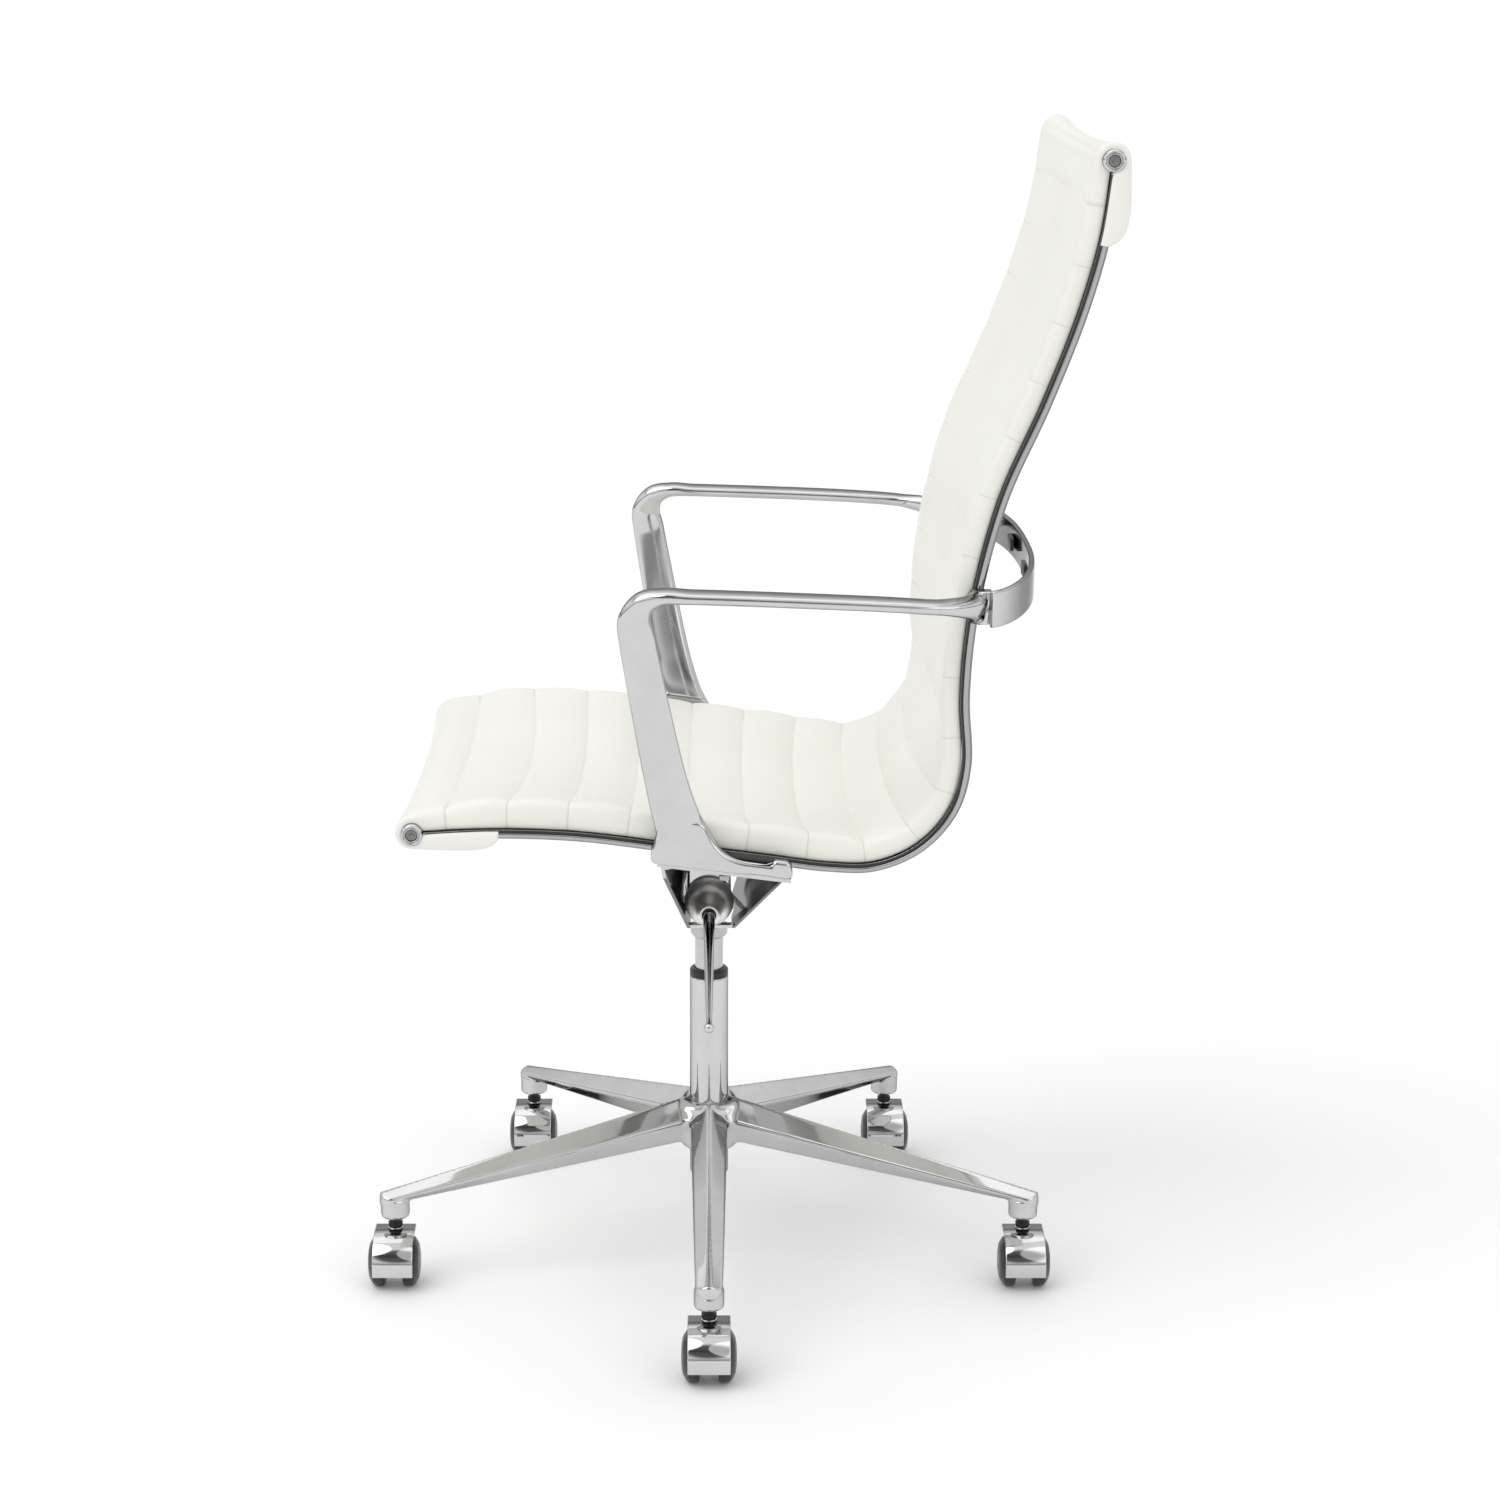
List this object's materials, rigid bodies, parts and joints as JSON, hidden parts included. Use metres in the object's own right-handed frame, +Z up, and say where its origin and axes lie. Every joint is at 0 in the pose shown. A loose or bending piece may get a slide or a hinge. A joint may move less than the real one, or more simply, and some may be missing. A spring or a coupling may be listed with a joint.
{
  "type": "swivel office chair",
  "caption": "High-backed swivel office chair: ribbed leather sling on a chromed frame, loop armrests, gas lift, tilting seat and a star base on hooded twin-wheel casters.",
  "frame": {"origin": "on the floor, below the middle of the whole chair's box", "axes": "+Z up, the chair faces -Y, and +X is the sitter's left"},
  "size_m": [0.677, 0.6972, 1.104],
  "materials": {
    "chrome": "polished chrome plate",
    "satin_steel": "satin",
    "plain_steel": "plain machined",
    "chromed_casting": "die-cast, polished and chromed",
    "grey_ring": "satin grey",
    "black_plastic": "matt black",
    "black_tread": "moulded black nylon",
    "leather": "smooth off-white, fine grain"
  },
  "bodies": {
    "base": {"star_base": "chromed_casting", "column_tube": "chrome", "column_bushing": "black_plastic"},
    "gas_rod": {"piston_rod": "plain_steel", "thrust_bearing": "plain_steel", "retaining_clip": "plain_steel"},
    "column_upper": {"gas_cylinder": "satin_steel", "column_collar": "grey_ring", "tilt_housing": "satin_steel", "tilt_shaft": "plain_steel", "torsion_spring": "plain_steel", "pivot_cover_left": "satin_steel", "pivot_cover_right": "satin_steel", "lever_bush": "black_plastic"},
    "valve": {"valve_button": "plain_steel"},
    "lever": {"release_lever": "chrome"},
    "seat": {"seat_support": "chromed_casting", "sling_upholstery": "leather", "front_tube": "chrome", "top_tube": "chrome", "back_brace": "chromed_casting", "side_rail_left": "chrome", "armrest_left": "chromed_casting", "end_cap_front_left": "chrome", "end_cap_top_left": "chrome", "arm_bolt_left": "plain_steel", "rear_bolt_left": "plain_steel", "brace_pad_left": "black_plastic", "side_rail_right": "chrome", "armrest_right": "chromed_casting", "end_cap_front_right": "chrome", "end_cap_top_right": "chrome", "arm_bolt_right": "plain_steel", "rear_bolt_right": "plain_steel", "brace_pad_right": "black_plastic"},
    "caster_1": {"caster_1_stem": "plain_steel", "caster_1_hood": "chrome", "caster_1_axle": "plain_steel"},
    "caster_1_wheel_left": {"caster_1_wheel_left": "black_tread"},
    "caster_1_wheel_right": {"caster_1_wheel_right": "black_tread"},
    "caster_2": {"caster_2_stem": "plain_steel", "caster_2_hood": "chrome", "caster_2_axle": "plain_steel"},
    "caster_2_wheel_left": {"caster_2_wheel_left": "black_tread"},
    "caster_2_wheel_right": {"caster_2_wheel_right": "black_tread"},
    "caster_3": {"caster_3_stem": "plain_steel", "caster_3_hood": "chrome", "caster_3_axle": "plain_steel"},
    "caster_3_wheel_left": {"caster_3_wheel_left": "black_tread"},
    "caster_3_wheel_right": {"caster_3_wheel_right": "black_tread"},
    "caster_4": {"caster_4_stem": "plain_steel", "caster_4_hood": "chrome", "caster_4_axle": "plain_steel"},
    "caster_4_wheel_left": {"caster_4_wheel_left": "black_tread"},
    "caster_4_wheel_right": {"caster_4_wheel_right": "black_tread"},
    "caster_5": {"caster_5_stem": "plain_steel", "caster_5_hood": "chrome", "caster_5_axle": "plain_steel"},
    "caster_5_wheel_left": {"caster_5_wheel_left": "black_tread"},
    "caster_5_wheel_right": {"caster_5_wheel_right": "black_tread"}
  },
  "joints": [
    {"name": "column_swivel", "type": "hinge", "parent": "base", "child": "gas_rod", "pos_m": [-0.03049, -0.01682, 0.07233], "axis": [0, 0, 1], "continuous": true},
    {"name": "height_slide", "type": "slide", "parent": "gas_rod", "child": "column_upper", "axis": [0, 0, 1], "range_m": [-0.024, 0.074]},
    {"name": "seat_tilt", "type": "hinge", "parent": "column_upper", "child": "seat", "pos_m": [-0.03049, -0.01682, 0.37213], "axis": [-1, 0, 0], "range_deg": [0, 12], "stiffness_Nm_per_rad": 180, "springref_deg": -17.19},
    {"name": "lever_lift", "type": "hinge", "parent": "column_upper", "child": "lever", "pos_m": [0.06451, -0.01682, 0.37213], "axis": [0, -1, 0], "range_deg": [0, 3], "stiffness_Nm_per_rad": 1, "springref_deg": -8.59},
    {"name": "valve_press", "type": "slide", "parent": "column_upper", "child": "valve", "axis": [0, 0, -1], "range_m": [0, 0.0055]},
    {"name": "caster_1_swivel", "type": "hinge", "parent": "base", "child": "caster_1", "pos_m": [0.29151, -0.01682, 0.06], "axis": [0, 0, 1], "continuous": true},
    {"name": "caster_1_wheel_left_roll", "type": "hinge", "parent": "caster_1", "child": "caster_1_wheel_left", "pos_m": [0.31051, 0.00018, 0.02363], "axis": [0, 1, 0], "continuous": true},
    {"name": "caster_1_wheel_right_roll", "type": "hinge", "parent": "caster_1", "child": "caster_1_wheel_right", "pos_m": [0.31051, -0.03382, 0.02363], "axis": [0, 1, 0], "continuous": true},
    {"name": "caster_2_swivel", "type": "hinge", "parent": "base", "child": "caster_2", "pos_m": [0.06902, 0.28942, 0.06], "axis": [0, 0, 1], "continuous": true},
    {"name": "caster_2_wheel_left_roll", "type": "hinge", "parent": "caster_2", "child": "caster_2_wheel_left", "pos_m": [0.08802, 0.30642, 0.02363], "axis": [0, 1, 0], "continuous": true},
    {"name": "caster_2_wheel_right_roll", "type": "hinge", "parent": "caster_2", "child": "caster_2_wheel_right", "pos_m": [0.08802, 0.27242, 0.02363], "axis": [0, 1, 0], "continuous": true},
    {"name": "caster_3_swivel", "type": "hinge", "parent": "base", "child": "caster_3", "pos_m": [-0.29099, 0.17245, 0.06], "axis": [0, 0, 1], "continuous": true},
    {"name": "caster_3_wheel_left_roll", "type": "hinge", "parent": "caster_3", "child": "caster_3_wheel_left", "pos_m": [-0.27199, 0.18945, 0.02363], "axis": [0, 1, 0], "continuous": true},
    {"name": "caster_3_wheel_right_roll", "type": "hinge", "parent": "caster_3", "child": "caster_3_wheel_right", "pos_m": [-0.27199, 0.15545, 0.02363], "axis": [0, 1, 0], "continuous": true},
    {"name": "caster_4_swivel", "type": "hinge", "parent": "base", "child": "caster_4", "pos_m": [-0.29099, -0.20608, 0.06], "axis": [0, 0, 1], "continuous": true},
    {"name": "caster_4_wheel_left_roll", "type": "hinge", "parent": "caster_4", "child": "caster_4_wheel_left", "pos_m": [-0.27199, -0.18908, 0.02363], "axis": [0, 1, 0], "continuous": true},
    {"name": "caster_4_wheel_right_roll", "type": "hinge", "parent": "caster_4", "child": "caster_4_wheel_right", "pos_m": [-0.27199, -0.22308, 0.02363], "axis": [0, 1, 0], "continuous": true},
    {"name": "caster_5_swivel", "type": "hinge", "parent": "base", "child": "caster_5", "pos_m": [0.06902, -0.32306, 0.06], "axis": [0, 0, 1], "continuous": true},
    {"name": "caster_5_wheel_left_roll", "type": "hinge", "parent": "caster_5", "child": "caster_5_wheel_left", "pos_m": [0.08802, -0.30606, 0.02363], "axis": [0, 1, 0], "continuous": true},
    {"name": "caster_5_wheel_right_roll", "type": "hinge", "parent": "caster_5", "child": "caster_5_wheel_right", "pos_m": [0.08802, -0.34006, 0.02363], "axis": [0, 1, 0], "continuous": true}
  ],
  "couplings": [
    {"joint": "valve_press", "follows": "lever_lift", "m_per_rad": 0.082}
  ]
}
